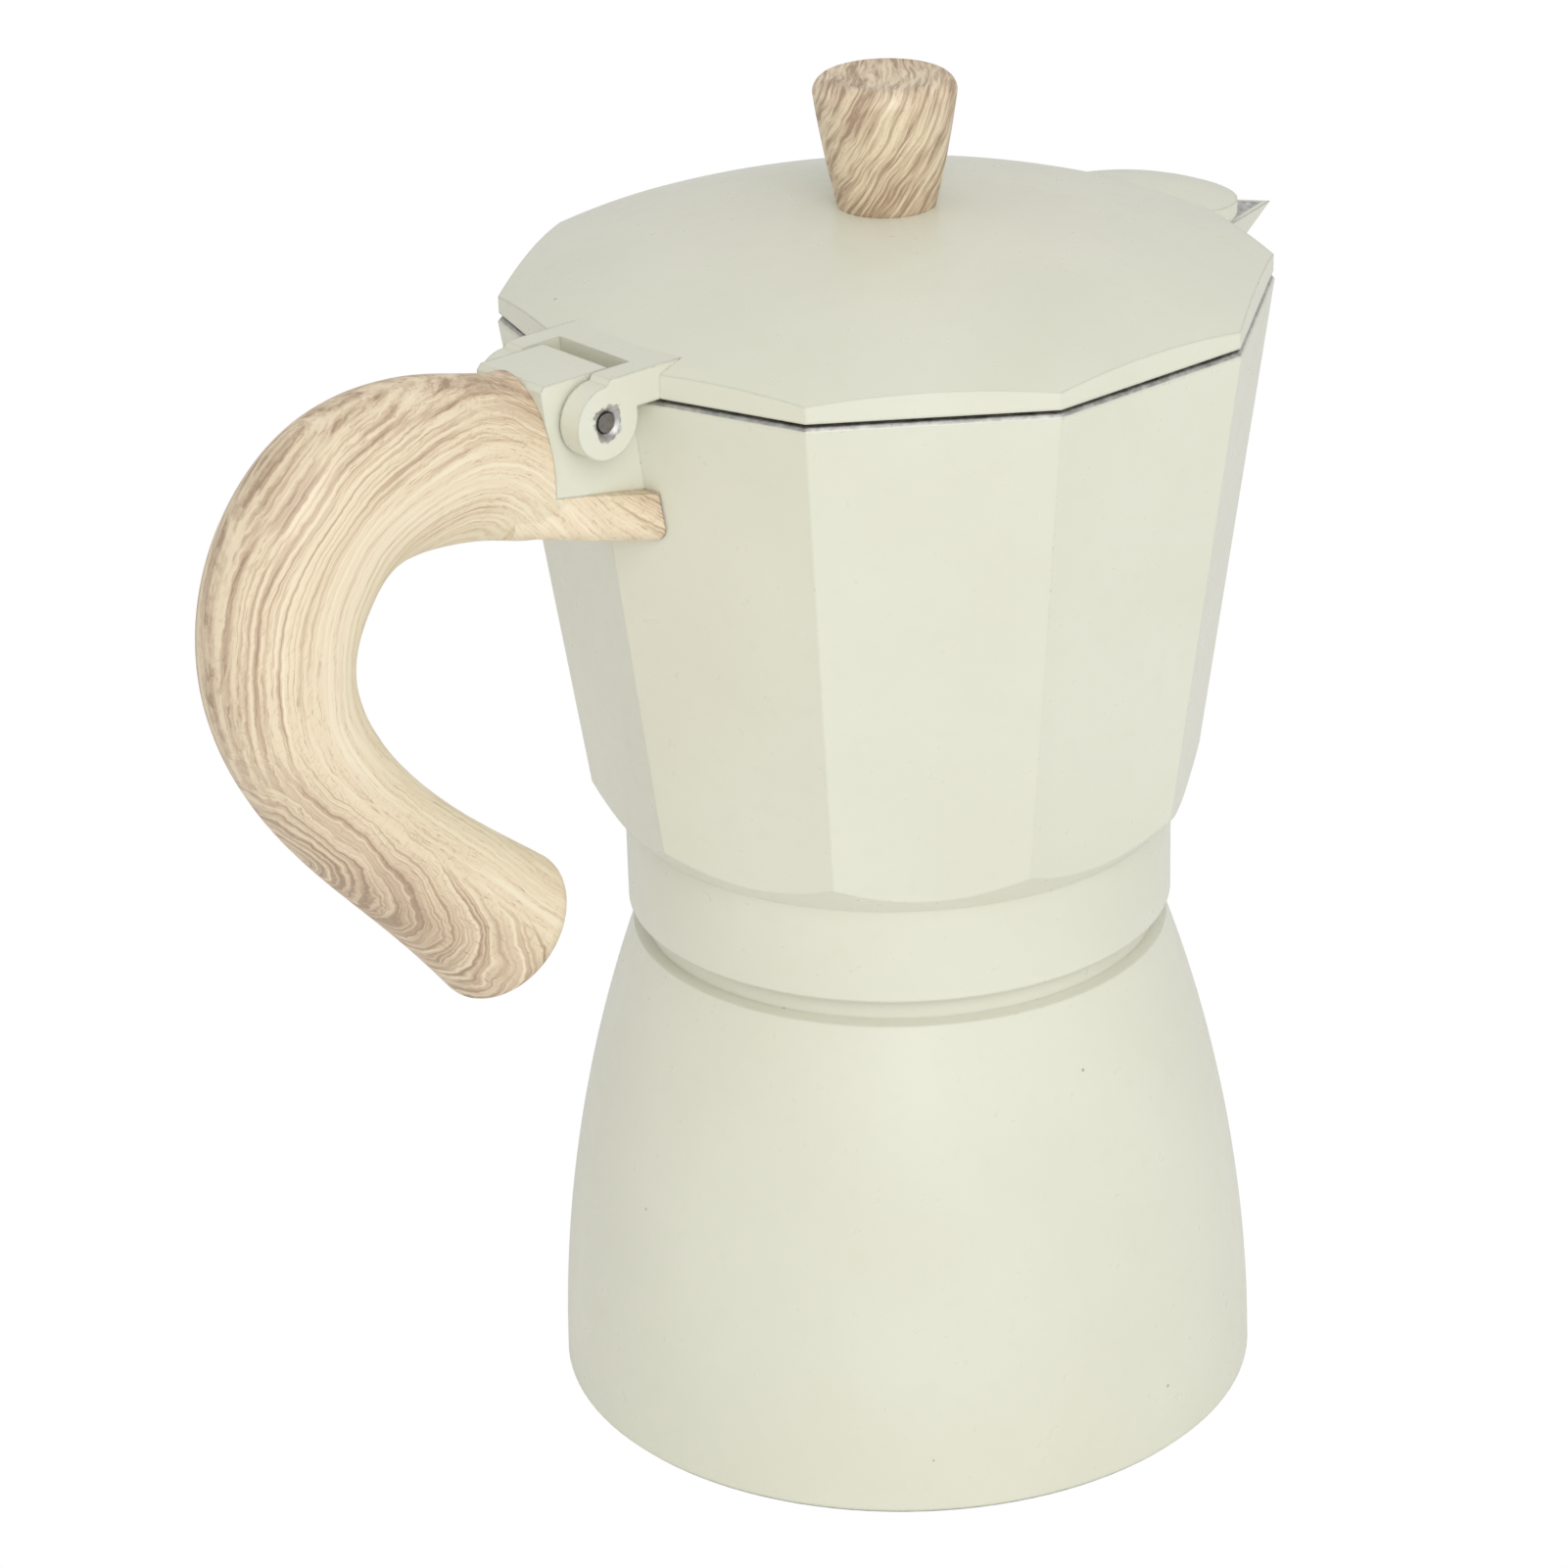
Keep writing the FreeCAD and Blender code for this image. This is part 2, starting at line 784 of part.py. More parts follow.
# ---------------------------------------------------------------- column and its cap
COLUMN_TOP = "(%s + column_height)" % FLOOR_TOP
column = keep(
    turned(
        "column",
        [
            ("column_bore", CAVITY_TOP),
            ("spigot_radius", CAVITY_TOP),
            ("spigot_radius", FLOOR_TOP),
            ("column_foot + 2", FLOOR_TOP),
            ("column_foot + 2", FLOOR_TOP + " + 1"),
            ("column_foot", FLOOR_TOP + " + 2"),
            ("column_top_radius + 0.6", COLUMN_TOP + " - cap_grip - 1"),
            ("column_top_radius", COLUMN_TOP + " - cap_grip - 1"),
            ("column_top_radius", COLUMN_TOP),
            ("column_bore", COLUMN_TOP),
        ],
    )
)
cap_shell = turned(
    "cap_shell",
    [
        ("column_top_radius + fit_gap", COLUMN_TOP + " - cap_grip"),
        ("cap_radius", COLUMN_TOP + " - cap_grip"),
        ("cap_radius", COLUMN_TOP + " - cap_grip + cap_height - 3"),
        ("cap_radius - 3.4", COLUMN_TOP + " - cap_grip + cap_height"),
        ("0", COLUMN_TOP + " - cap_grip + cap_height"),
        ("0", COLUMN_TOP + " - cap_grip + cap_height - 1.4"),
        ("column_bore", COLUMN_TOP + " - cap_grip + cap_height - 3"),
        ("column_bore + 0.8", COLUMN_TOP + " + 0.2"),
        ("column_top_radius + fit_gap", COLUMN_TOP + " + 0.2"),
    ],
    {2: "5"},
)
windows = []
for number in range(3):
    window = block("cap_window_%d" % number, "cap_radius + 4", "window_width", "window_height")
    swing = math.radians(120 * number + 60)
    place(
        window,
        "window_width / 2 * %.6f" % math.sin(swing),
        "-window_width / 2 * %.6f" % math.cos(swing),
        COLUMN_TOP + " + 0.6",
        (0, 0, 1),
        120 * number + 60,
    )
    windows.append(window)
column_cap = keep(cut("column_cap", cap_shell, *windows))

# ---------------------------------------------------------------- hinge pin
hinge_pin = keep(rod("hinge_pin", "pin_radius", "2 * (notch_half + lug_thickness) - 0.6"))
place(
    hinge_pin,
    "-hinge_back",
    "notch_half + lug_thickness - 0.3",
    "hinge_level",
    (1, 0, 0),
    90,
)


# ---------------------------------------------------------------- screws and washers
def pan_screw(label, length):
    """Slotted pan-head screw: shank up from zero, head below it."""
    blank = turned(
        label + "_blank",
        [
            ("0", "-head_height"),
            ("head_radius - 1", "-head_height"),
            ("head_radius", "-head_height + 1"),
            ("head_radius", "0"),
            ("screw_radius", "0"),
            ("screw_radius", "%s - 0.6" % length),
            ("screw_radius - 0.6", length),
            ("0", length),
        ],
        {1: "1.2"},
    )
    slot = block(label + "_slot", "3 * head_radius", "1", "1")
    place(slot, "-1.5 * head_radius", "-0.5", "-head_height - 0.1")
    return keep(cut(label, blank, slot))


def flat_washer(label):
    return keep(
        turned(
            label,
            [
                ("screw_radius + 0.15", "-sheet_thickness"),
                ("washer_radius", "-sheet_thickness"),
                ("washer_radius", "0"),
                ("screw_radius + 0.15", "0"),
            ],
        )
    )


# ---------------------------------------------------------------- handle
wires = []
for station in STATIONS:
    ring = doc.addObject("Part::Ellipse", "handle_" + station)
    bind(ring, "MajorRadius", station + "_depth")
    bind(ring, "MinorRadius", station + "_width")
    place(ring, "-%s_reach" % station, "0", station + "_rise", (0, 1, 0), size(station + "_tilt"))
    wires.append(ring)
handle_bow = doc.addObject("Part::Loft", "handle_bow")
handle_bow.Sections = wires
handle_bow.Solid = True
handle_bow.Ruled = False

handle_tip = doc.addObject("Part::Ellipsoid", "handle_tip")
bind(handle_tip, "Radius1", "tail_depth * 0.5")
bind(handle_tip, "Radius2", "tail_depth")
bind(handle_tip, "Radius3", "tail_width")
place(handle_tip, "-tail_reach", "0", "tail_rise", (0, 1, 0), size("tail_tilt"))

ledge_side = slab(
    "ledge_side",
    [
        ("-ledge_reach", "ledge_bottom"),
        ("-ledge_reach", "bracket_seat_level"),
        ("-ledge_back", "bracket_seat_level + 3"),
        ("-ledge_back", "ledge_bottom + ledge_rise"),
        ("-(ledge_back - 11)", "ledge_bottom + ledge_rise / 2"),
    ],
    "2 * ledge_half",
)
ledge_plan = slab(
    "ledge_plan",
    [
        ("-ledge_reach", "-ledge_half"),
        ("-ledge_reach", "ledge_half"),
        ("-bracket_rear", "ledge_neck"),
        ("-ledge_back", "ledge_neck"),
        ("-ledge_back", "-ledge_neck"),
        ("-bracket_rear", "-ledge_neck"),
    ],
    "bracket_top + 10",
    plane="XY_Plane",
)
ledge_blank = shared("ledge_blank", ledge_side, ledge_plan)
doc.recompute()
low_edges = []
for number, edge in enumerate(ledge_blank.Shape.Edges, start=1):
    middle = edge.valueAt((edge.FirstParameter + edge.LastParameter) / 2)
    low = middle.z < size("ledge_bottom + ledge_rise") + 0.1
    inner = -size("ledge_back") + 1 < middle.x < -size("ledge_reach") - 1
    if low and inner and abs(middle.y) > size("ledge_neck") - 0.5:
        low_edges.append((number, size("ledge_round"), size("ledge_round")))
ledge = doc.addObject("Part::Fillet", "handle_ledge")
ledge.Base = ledge_blank
ledge.Edges = low_edges
doc.recompute()

seat_cut = slab(
    "seat_cut",
    [
        ("-bracket_seat_rear", "bracket_seat_level"),
        ("-(bracket_seat_rear - 30.4)", "bracket_seat_level - 2 * bracket_seat_fall"),
        ("-(bracket_seat_rear - 30.4)", "bracket_top + 16"),
        (bracket_back("(bracket_top + 16)"), "bracket_top + 16"),
    ],
    "30",
)
wall_cut = facet_loft(
    "wall_cut",
    [
        (facet_radius("(ledge_bottom - 30)") + " + seat_gap", "ledge_bottom - 30"),
        (facet_radius("(bracket_top)") + " + seat_gap", "bracket_top"),
    ],
)
screw_way = place_on_seat(rod("screw_way", "screw_radius + 0.15", "20"), "-10")
head_way = place_on_seat(rod("head_way", "washer_radius + 0.2", "14"), "-17")
handle = keep(
    cut(
        "handle",
        join("handle_solid", handle_bow, handle_tip, ledge),
        seat_cut,
        wall_cut,
        screw_way,
        head_way,
    )
)
handle_washer = place_on_seat(flat_washer("handle_washer"), "-3")
handle_screw = place_on_seat(pan_screw("handle_screw", "11.5"), "-3 - sheet_thickness")

# ---------------------------------------------------------------- lid
dome = turned(
    "lid_dome",
    [
        ("0", "lid_bottom"),
        ("lid_radius + 3", "lid_bottom"),
        ("lid_radius + 3", "dome_top - (lid_radius + 3)^2 / (2 * dome_radius)"),
        ("knob_foot + 1", "dome_top - 0.2"),
        ("0", "dome_top - 0.2"),
    ],
    {2: "dome_radius"},
)
lid_prism = place(prism("lid_prism", "facets", "lid_radius", "30"), z="lid_bottom")
lid_plate = shared("lid_plate", dome, lid_prism)
dome_under = turned(
    "dome_under",
    [
        ("0", "lid_bottom - 6"),
        ("lid_radius", "lid_bottom - 6"),
        ("lid_radius", "dome_top - lid_wall - lid_radius^2 / (2 * dome_radius)"),
        ("knob_foot", "dome_top - lid_wall - 0.1"),
        ("0", "dome_top - lid_wall - 0.1"),
    ],
    {2: "dome_radius"},
)
skirt_prism = place(
    prism("skirt_prism", "facets", "lid_radius - lid_skirt", "30"), z="lid_bottom - 3"
)
lid_hollow = shared("lid_hollow", dome_under, skirt_prism)

tongue_plan = place(rod("tongue_plan", "tongue_radius", "12"), x="tongue_centre", z="lid_bottom")
tongue_crown = doc.addObject("Part::Sphere", "tongue_crown")
bind(tongue_crown, "Radius", "tongue_crown")
place(tongue_crown, "beak_root", "0", "tongue_top - tongue_crown")
tongue = shared("tongue", tongue_plan, tongue_crown)
tongue_hollow = place(
    rod("tongue_hollow", "tongue_radius - 2.4", "4"), x="tongue_centre", z="lid_bottom - 2.8"
)

lug_bar = place(
    rod("lug_bar", "lug_radius", "2 * (notch_half + lug_thickness)"),
    "-hinge_back",
    "notch_half + lug_thickness",
    "hinge_level",
    (1, 0, 0),
    90,
)
arm_bar = slab(
    "arm_bar",
    [
        ("-hinge_back", "lid_bottom"),
        ("-arm_root", "lid_bottom"),
        ("-arm_root", "arm_top - 0.2"),
        ("-(arm_root + 1)", "arm_top"),
        ("-(hinge_back - 0.6)", "arm_top"),
        ("-hinge_back", "hinge_level + lug_radius"),
    ],
    "notch_half + lug_thickness",
)
notch = block("lid_notch", "20", "2 * notch_half", "24")
place(notch, "-(notch_edge + 20)", "-notch_half", "lid_bottom - 12")
lug_bore = place(
    rod("lug_bore", "pin_radius + pin_gap", "40"), "-hinge_back", "20", "hinge_level", (1, 0, 0), 90
)
countersinks = []
for side in (1, -1):
    sink = doc.addObject("Part::Cone", "countersink_%s" % ("left" if side > 0 else "right"))
    bind(sink, "Radius1", "pin_radius + pin_gap + 0.7")
    bind(sink, "Radius2", "pin_radius + pin_gap")
    sink.Height = 0.6
    place(
        sink,
        "-hinge_back",
        "%d * (notch_half + lug_thickness)" % side,
        "hinge_level",
        (1, 0, 0),
        90 * side,
    )
    countersinks.append(sink)
knob_hole = place(rod("knob_hole", "screw_radius + 0.15", "20"), z="dome_top - 12")
lid = keep(
    cut(
        "lid",
        join("lid_solid", lid_plate, tongue, lug_bar, arm_bar),
        lid_hollow,
        tongue_hollow,
        notch,
        lug_bore,
        knob_hole,
        *countersinks,
    )
)

# ---------------------------------------------------------------- knob
KNOB_BOTTOM = "(dome_top - 0.2)"
KNOB_TOP = "(dome_top - 0.2 + knob_height)"
knob = keep(
    turned(
        "knob",
        [
            ("insert_radius", KNOB_BOTTOM),
            ("knob_foot", KNOB_BOTTOM),
            ("knob_radius", KNOB_TOP + " - knob_lip"),
            ("knob_radius - knob_lip", KNOB_TOP),
            ("0", KNOB_TOP + " - knob_dish"),
            ("0", KNOB_BOTTOM + " + insert_length + 0.6"),
            ("insert_radius", KNOB_BOTTOM + " + insert_length + 0.6"),
        ],
        {1: "knob_side", 2: "knob_lip + 0.1"},
    )
)
knob_insert = keep(
    turned(
        "knob_insert",
        [
            ("screw_radius + fit_gap", KNOB_BOTTOM),
            ("insert_radius", KNOB_BOTTOM),
            ("insert_radius", KNOB_BOTTOM + " + insert_length * 0.4"),
            ("insert_radius - 0.3", KNOB_BOTTOM + " + insert_length * 0.45"),
            ("insert_radius - 0.3", KNOB_BOTTOM + " + insert_length * 0.55"),
            ("insert_radius", KNOB_BOTTOM + " + insert_length * 0.6"),
            ("insert_radius", KNOB_BOTTOM + " + insert_length"),
            ("screw_radius + fit_gap", KNOB_BOTTOM + " + insert_length"),
        ],
    )
)
LID_UNDER = "dome_top - lid_wall - 0.1"
knob_washer = place(flat_washer("knob_washer"), z=LID_UNDER)
knob_screw = place(pan_screw("knob_screw", "12"), z=LID_UNDER + " - sheet_thickness")

# ---------------------------------------------------------------- checks and export
doc.recompute()
for item in doc.Objects:
    for flag in ("Invalid", "Error"):
        if flag in item.State:
            raise ValueError("%s did not build: %s" % (item.Label, item.State))
for name, item in KEPT.items():
    shape = item.Shape
    if shape.isNull() or not shape.isValid() or not shape.Solids:
        raise ValueError("%s is not a valid solid" % name)
    print(name, len(shape.Solids), "solid", round(shape.Volume / 1000, 2), "cm3")
    shape.exportStep("parts/%s.step" % name)
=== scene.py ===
import json
import math
import bpy
from mathutils import Matrix, Vector

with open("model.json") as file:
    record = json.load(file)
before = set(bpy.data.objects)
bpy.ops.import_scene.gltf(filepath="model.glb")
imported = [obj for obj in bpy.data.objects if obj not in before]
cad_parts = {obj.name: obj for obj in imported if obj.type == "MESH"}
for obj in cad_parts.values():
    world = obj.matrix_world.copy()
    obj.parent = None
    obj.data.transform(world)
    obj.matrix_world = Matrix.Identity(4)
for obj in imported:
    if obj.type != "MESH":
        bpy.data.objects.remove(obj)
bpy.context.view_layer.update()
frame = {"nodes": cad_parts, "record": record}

MM = 0.001

# ---------------------------------------------------------------- camera
CAMERA_PLACE = (-0.44018, -0.48578, 0.38453)
CAMERA_AZIMUTH = -132.1808
CAMERA_YAW = 1.4061
CAMERA_PITCH = 24.2057
CAMERA_ROLL = -1.6222
CAMERA_LENS = 116.28


def add_camera():
    """Camera at the given place, turned from its heading, pitch and roll."""
    heading = math.radians(CAMERA_AZIMUTH + CAMERA_YAW)
    pitch = math.radians(CAMERA_PITCH)
    roll = math.radians(CAMERA_ROLL)
    ahead = Vector(
        (
            -math.cos(heading) * math.cos(pitch),
            -math.sin(heading) * math.cos(pitch),
            -math.sin(pitch),
        )
    )
    level = ahead.cross(Vector((0, 0, 1))).normalized()
    raised = level.cross(ahead)
    right = level * math.cos(roll) + raised * math.sin(roll)
    up = raised * math.cos(roll) - level * math.sin(roll)
    turn = Matrix((right, up, -ahead)).transposed().to_4x4()
    data = bpy.data.cameras.new("camera")
    data.lens = CAMERA_LENS
    data.sensor_width = 36
    data.clip_end = 20
    camera = bpy.data.objects.new("camera", data)
    camera.matrix_world = Matrix.Translation(CAMERA_PLACE) @ turn
    bpy.context.scene.collection.objects.link(camera)
    bpy.context.scene.camera = camera


# ---------------------------------------------------------------- node helpers
class Maker:
    """Adds shader nodes to one material and joins them up.

    Its spot is the place on the pot in millimetres.
    """

    def __init__(self, name):
        self.material = bpy.data.materials.new(name)
        self.material.use_nodes = True
        self.tree = self.material.node_tree
        self.tree.nodes.clear()
        self.shader = self.add("ShaderNodeBsdfPrincipled")
        output = self.add("ShaderNodeOutputMaterial")
        self.tree.links.new(self.shader.outputs[0], output.inputs[0])
        place = self.add("ShaderNodeTexCoord").outputs["Object"]
        self.spot = self.vector_calc("MULTIPLY", place, (1 / MM, 1 / MM, 1 / MM))

    def add(self, kind):
        return self.tree.nodes.new(kind)

    def feed(self, socket, value):
        """Join an output to a socket, or set the socket to a plain value."""
        if isinstance(value, bpy.types.NodeSocket):
            self.tree.links.new(value, socket)
        else:
            socket.default_value = value

    def calc(self, operation, first, second=0.0, third=0.0):
        node = self.add("ShaderNodeMath")
        node.operation = operation
        for socket, value in zip(node.inputs, (first, second, third)):
            self.feed(socket, value)
        return node.outputs[0]

    def vector_calc(self, operation, first, second=(0, 0, 0), output=0):
        node = self.add("ShaderNodeVectorMath")
        node.operation = operation
        self.feed(node.inputs[0], first)
        self.feed(node.inputs[1], second)
        return node.outputs[output]

    def dot(self, first, second):
        return self.vector_calc("DOT_PRODUCT", first, second, "Value")

    def split(self, vector):
        node = self.add("ShaderNodeSeparateXYZ")
        self.feed(node.inputs[0], vector)
        return node.outputs

    def gather(self, across, deep, up):
        node = self.add("ShaderNodeCombineXYZ")
        for socket, value in zip(node.inputs, (across, deep, up)):
            self.feed(socket, value)
        return node.outputs[0]

    def noise(self, vector, scale, detail, rough, twist=0.0):
        node = self.add("ShaderNodeTexNoise")
        self.feed(node.inputs["Vector"], vector)
        self.feed(node.inputs["Scale"], scale)
        self.feed(node.inputs["Detail"], detail)
        self.feed(node.inputs["Roughness"], rough)
        self.feed(node.inputs["Distortion"], twist)
        return node.outputs["Fac"]

    def wander(self, vector, scale, detail, rough, size):
        """Noise about zero, from half of minus size to half of size."""
        centred = self.calc("SUBTRACT", self.noise(vector, scale, detail, rough), 0.5)
        return self.times(centred, size)

    def cells(self, vector, scale):
        """Distance to the nearest of many scattered spots."""
        node = self.add("ShaderNodeTexVoronoi")
        self.feed(node.inputs["Vector"], vector)
        self.feed(node.inputs["Scale"], scale)
        return node.outputs["Distance"]

    def ramp(self, value, low, high):
        """0 at low and 1 at high, eased; low may be the larger."""
        node = self.add("ShaderNodeMapRange")
        node.interpolation_type = "SMOOTHSTEP"
        self.feed(node.inputs["Value"], value)
        self.feed(node.inputs["From Min"], low)
        self.feed(node.inputs["From Max"], high)
        return node.outputs[0]

    def span(self, value, low, high, to_low, to_high):
        node = self.add("ShaderNodeMapRange")
        self.feed(node.inputs["Value"], value)
        self.feed(node.inputs["From Min"], low)
        self.feed(node.inputs["From Max"], high)
        self.feed(node.inputs["To Min"], to_low)
        self.feed(node.inputs["To Max"], to_high)
        return node.outputs[0]

    def blend(self, share, first, second):
        """Colour between two colours."""
        node = self.add("ShaderNodeMix")
        node.data_type = "RGBA"
        self.feed(node.inputs["Factor"], share)
        self.feed(node.inputs["A"], first)
        self.feed(node.inputs["B"], second)
        return node.outputs["Result"]

    def soft_edge(self, radius):
        """Normal rounded off at sharp edges, and 1 close to such an edge."""
        rounded = self.add("ShaderNodeBevel")
        rounded.samples = 3
        self.feed(rounded.inputs["Radius"], radius)
        facing = self.add("ShaderNodeNewGeometry").outputs["Normal"]
        near = self.ramp(self.dot(rounded.outputs[0], facing), 0.995, 0.93)
        return rounded.outputs[0], near

    def bump(self, height, strength, distance, normal=None):
        node = self.add("ShaderNodeBump")
        self.feed(node.inputs["Height"], height)
        self.feed(node.inputs["Strength"], strength)
        self.feed(node.inputs["Distance"], distance)
        if normal:
            self.feed(node.inputs["Normal"], normal)
        self.feed(self.shader.inputs["Normal"], node.outputs[0])

    def distance(self, first, second):
        """Length of the slant side whose square sides are these."""
        squares = self.calc("ADD", self.times(first, first), self.times(second, second))
        return self.calc("SQRT", squares)

    def highest(self, *shares):
        """Highest of several shares."""
        result = shares[0]
        for share in shares[1:]:
            result = self.calc("MAXIMUM", result, share)
        return result

    def times(self, first, second):
        return self.calc("MULTIPLY", first, second)

    def set(self, **values):
        names = {
            "colour": "Base Color",
            "rough": "Roughness",
            "metal": "Metallic",
            "sheen": "Sheen Weight",
        }
        for name, value in values.items():
            self.feed(self.shader.inputs[names[name]], value)


def tone(red, green, blue):
    """Colour given as screen values of 0 to 255."""
    parts = []
    for value in (red, green, blue):
        share = value / 255
        parts.append(share / 12.92 if share <= 0.04045 else ((share + 0.055) / 1.055) ** 2.4)
    return (*parts, 1)


# ---------------------------------------------------------------- finishes
# sizes of the pot in millimetres, the same as in the CAD model
RIM = 162.3
WAIST = 93
WAIST_RADIUS = 43.3
TAPER = 0.144
HALF_FACET = math.radians(18)
CHAMBER_FLOOR = 96
BORE_RADIUS = 37.4
SPOUT_FOOT = 49.88
SPOUT_LOW = 138.7
SPOUT_RUN = 1.27
SPOUT_SPREAD = 0.444
SPOUT_ROOT = 44
RIM_BACK_END = -52
NECK_START = 73.4
BELL_FOOT = 50.9
BELL_CURVE = 0.00262
HINGE_BACK = 58.3
HINGE_LEVEL = 161.8
BOW_BACK = 80
BOW_LEVEL = 138

CREAM = tone(219, 219, 201)
CREAM_PALE = tone(223, 223, 206)
CREAM_FLECK = tone(213, 213, 193)
# paler cream painted on sharp edges as a highlight
CREAM_EDGE_HIGHLIGHT = tone(234, 234, 222)
PIT_BROWN = tone(132, 126, 112)
CAST_DARK = tone(158, 157, 154)
CAST_LIGHT = tone(206, 205, 201)
WOOD_PALE = tone(240, 228, 201)
WOOD_LIGHT = tone(231, 214, 184)
WOOD_STREAK = tone(197, 173, 145)
WOOD_DARK = tone(156, 130, 107)
WOOD_SHADE = tone(202, 178, 148)
WOOD_PORE = tone(168, 138, 108)
SILICONE = tone(222, 218, 208)
SILICONE_PALE = tone(231, 228, 219)
SILICONE_DUST = tone(206, 201, 190)
FLOOR_WHITE = tone(250, 250, 250)


def collector_bare(make, spot):
    """Where the upper chamber is left without paint: inside, underneath and along its rim."""
    across, deep, up = make.split(spot)
    reach = make.distance(across, deep)
    swing = make.calc("ARCTAN2", deep, across)
    folded = make.calc("FLOORED_MODULO", swing, 2 * HALF_FACET)
    folded = make.calc("SUBTRACT", folded, HALF_FACET)
    apothem = make.times(reach, make.calc("COSINE", folded))
    wall = make.calc("MULTIPLY_ADD", up, TAPER, WAIST_RADIUS - TAPER * WAIST)
    depth = make.calc("SUBTRACT", make.times(wall, math.cos(HALF_FACET)), apothem)
    above_floor = make.ramp(up, CHAMBER_FLOOR - 0.4, CHAMBER_FLOOR)
    inside = make.times(make.ramp(depth, 0.9, 1.3), above_floor)
    in_bore = make.ramp(reach, BORE_RADIUS + 0.1, BORE_RADIUS - 0.1)
    under = make.times(in_bore, make.ramp(up, CHAMBER_FLOOR + 0.8, CHAMBER_FLOOR + 0.4))
    clear_of_hinge = make.ramp(across, RIM_BACK_END - 1, RIM_BACK_END)
    rim = make.times(make.ramp(up, RIM - 0.5, RIM - 0.3), clear_of_hinge)
    tip = make.calc("MULTIPLY_ADD", up, SPOUT_RUN, SPOUT_FOOT - SPOUT_RUN * SPOUT_LOW)
    side = make.times(make.calc("SUBTRACT", tip, across), SPOUT_SPREAD)
    spout = make.calc("SUBTRACT", side, make.calc("ABSOLUTE", deep))
    past_root = make.ramp(across, SPOUT_ROOT, SPOUT_ROOT + 2)
    spout = make.times(make.ramp(spout, 0.7, 1.1), past_root)
    spout = make.times(spout, make.ramp(up, 138, 141))
    return make.highest(inside, under, rim, spout)


def boiler_bare(make, spot):
    """Where the boiler is left without paint: neck, thread, inside and base."""
    across, deep, up = make.split(spot)
    reach = make.distance(across, deep)
    neck = make.ramp(up, NECK_START, NECK_START + 0.3)
    skin = make.calc("SUBTRACT", BELL_FOOT, make.times(make.times(up, up), BELL_CURVE))
    inside = make.ramp(make.calc("SUBTRACT", skin, reach), 1.2, 1.5)
    inside = make.times(inside, make.ramp(up, 1.5, 2))
    base = make.ramp(up, 0.35, 0.25)
    return make.highest(neck, inside, base)


def lid_bare(make, spot):
    """Where the lid is left without paint: the bores of its lugs and their ragged mouths."""
    across, _, up = make.split(spot)
    back = make.calc("ADD", across, HINGE_BACK)
    rise = make.calc("SUBTRACT", up, HINGE_LEVEL)
    away = make.distance(back, rise)
    ragged = make.wander(spot, 0.9, 3, 0.6, 2.2)
    return make.ramp(make.calc("ADD", away, ragged), 2.5, 2.2)


def cream_paint(name, bare_rule):
    """Satin cream paint with fine pits, chipped along its edges, over cast aluminium; its edges
    are painted paler as a highlight.
    """
    make = Maker(name)
    spot = make.spot
    rounded, edge = make.soft_edge(0.5 * MM)
    cloud = make.noise(spot, 0.03, 3, 0.5)
    fleck = make.noise(spot, 0.35, 4, 0.6)
    pits = make.cells(spot, 0.16)
    rare = make.ramp(make.noise(spot, 0.07, 2, 0.5), 0.57, 0.62)
    pit = make.times(make.ramp(pits, 0.05, 0.03), rare)
    chip = make.ramp(make.noise(spot, 1.1, 4, 0.65), 0.6, 0.66)
    worn = make.ramp(make.noise(spot, 0.09, 2, 0.5), 0.47, 0.6)
    chip = make.times(make.times(chip, worn), edge)
    bare = make.highest(bare_rule(make, spot), chip)

    paint = make.blend(make.ramp(cloud, 0.3, 0.7), CREAM, CREAM_PALE)
    paint = make.blend(make.times(make.ramp(fleck, 0.5, 0.8), 0.25), paint, CREAM_FLECK)
    # paler cream along every sharp edge: a painted highlight where the edges catch light
    paint = make.blend(make.times(edge, 0.12), paint, CREAM_EDGE_HIGHLIGHT)
    paint = make.blend(make.times(pit, 0.6), paint, PIT_BROWN)
    cast = make.noise(spot, 0.7, 5, 0.65)
    metal = make.blend(make.ramp(cast, 0.3, 0.7), CAST_DARK, CAST_LIGHT)
    rough_paint = make.span(fleck, 0.3, 0.7, 0.27, 0.37)
    rough_metal = make.span(cast, 0.3, 0.7, 0.3, 0.55)
    change = make.calc("SUBTRACT", rough_metal, rough_paint)
    rough = make.calc("MULTIPLY_ADD", change, bare, rough_paint)
    make.set(colour=make.blend(bare, paint, metal), rough=rough, metal=make.times(bare, 0.9))
    peel = make.noise(spot, 0.5, 3, 0.5)
    grain_depth = make.calc("MULTIPLY_ADD", bare, 0.9, 0.06)
    grain = make.times(make.noise(spot, 2.4, 4, 0.6), grain_depth)
    height = make.calc("ADD", make.times(peel, 0.35), grain)
    height = make.calc("SUBTRACT", height, make.times(pit, 0.8))
    height = make.calc("SUBTRACT", height, make.times(bare, 0.3))
    make.bump(height, 0.22, 0.12 * MM, rounded)
    return make.material


def wood_colours(make, lines, shade, pores):
    """Pale printed wood: three tones of streak, soft shading and short dark pores."""
    colour = make.blend(make.ramp(lines, 0.3, 0.52), WOOD_PALE, WOOD_LIGHT)
    colour = make.blend(make.times(make.ramp(lines, 0.5, 0.66), 0.75), colour, WOOD_STREAK)
    colour = make.blend(make.times(make.ramp(lines, 0.62, 0.76), 0.8), colour, WOOD_DARK)
    colour = make.blend(make.times(shade, 0.5), colour, WOOD_SHADE)
    return make.blend(make.times(pores, 0.5), colour, WOOD_PORE)


